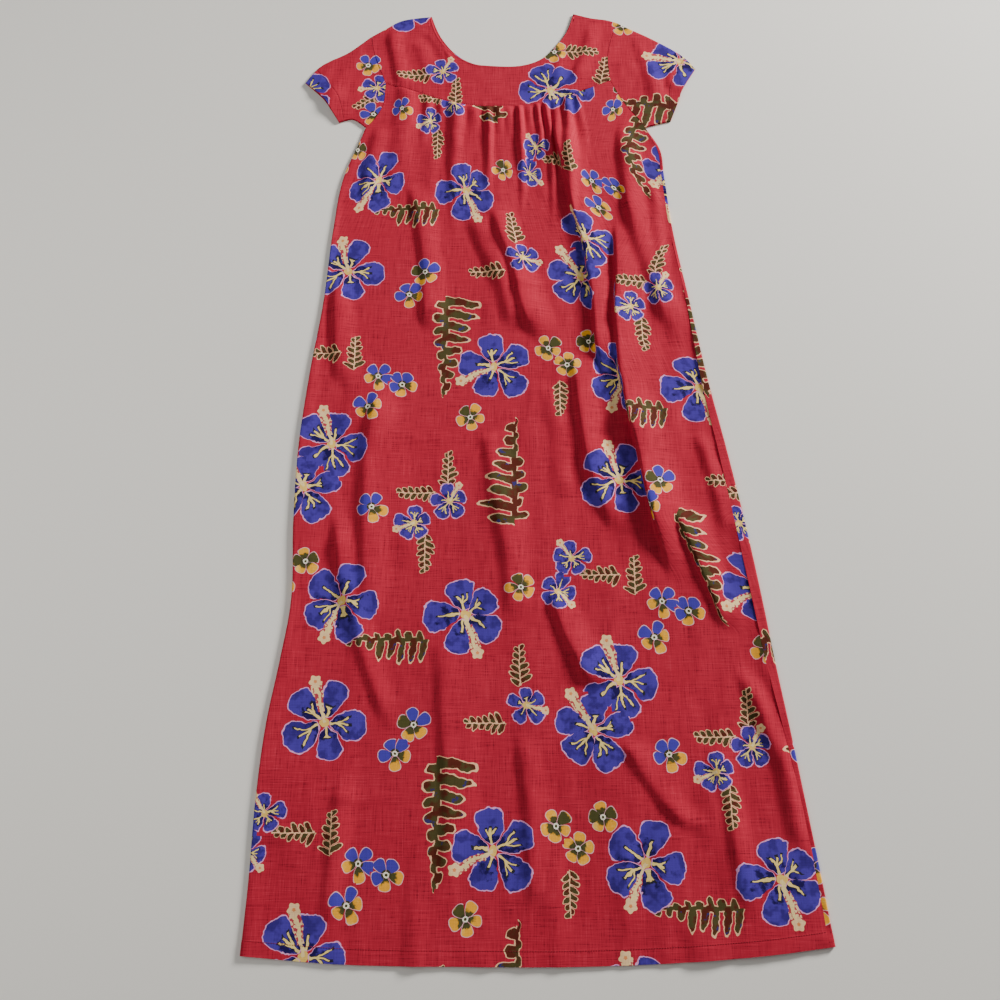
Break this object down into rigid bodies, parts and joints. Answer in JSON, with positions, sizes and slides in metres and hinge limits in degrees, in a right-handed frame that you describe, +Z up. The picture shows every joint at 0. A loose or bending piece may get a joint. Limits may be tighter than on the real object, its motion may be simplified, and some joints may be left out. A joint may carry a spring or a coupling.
{
  "type": "hawaiian maxi dress, laid flat",
  "caption": "Long printed cotton dress laid flat, front up: scoop neck, curved yoke, gathered skirt, short set-in sleeves.",
  "frame": {"origin": "centre of the laid dress's bounding box, on the surface it lies on", "axes": "+X to the right of the laid front (the wearer's left), +Y from hem to neck, +Z up from the surface"},
  "size_m": [0.6959, 1.3836, 0.0106],
  "materials": {
    "printed_cotton": "matt slub cotton, crimson ground printed with violet-blue hibiscus, pansies and olive ferns",
    "sewing_thread": "matt crimson sewing thread"
  },
  "bodies": {
    "root": {"front_skirt": "printed_cotton", "back_skirt": "printed_cotton", "front_yoke": "printed_cotton", "back_yoke": "printed_cotton", "sleeve_right": "printed_cotton", "sleeve_left": "printed_cotton"}
  },
  "joints": []
}
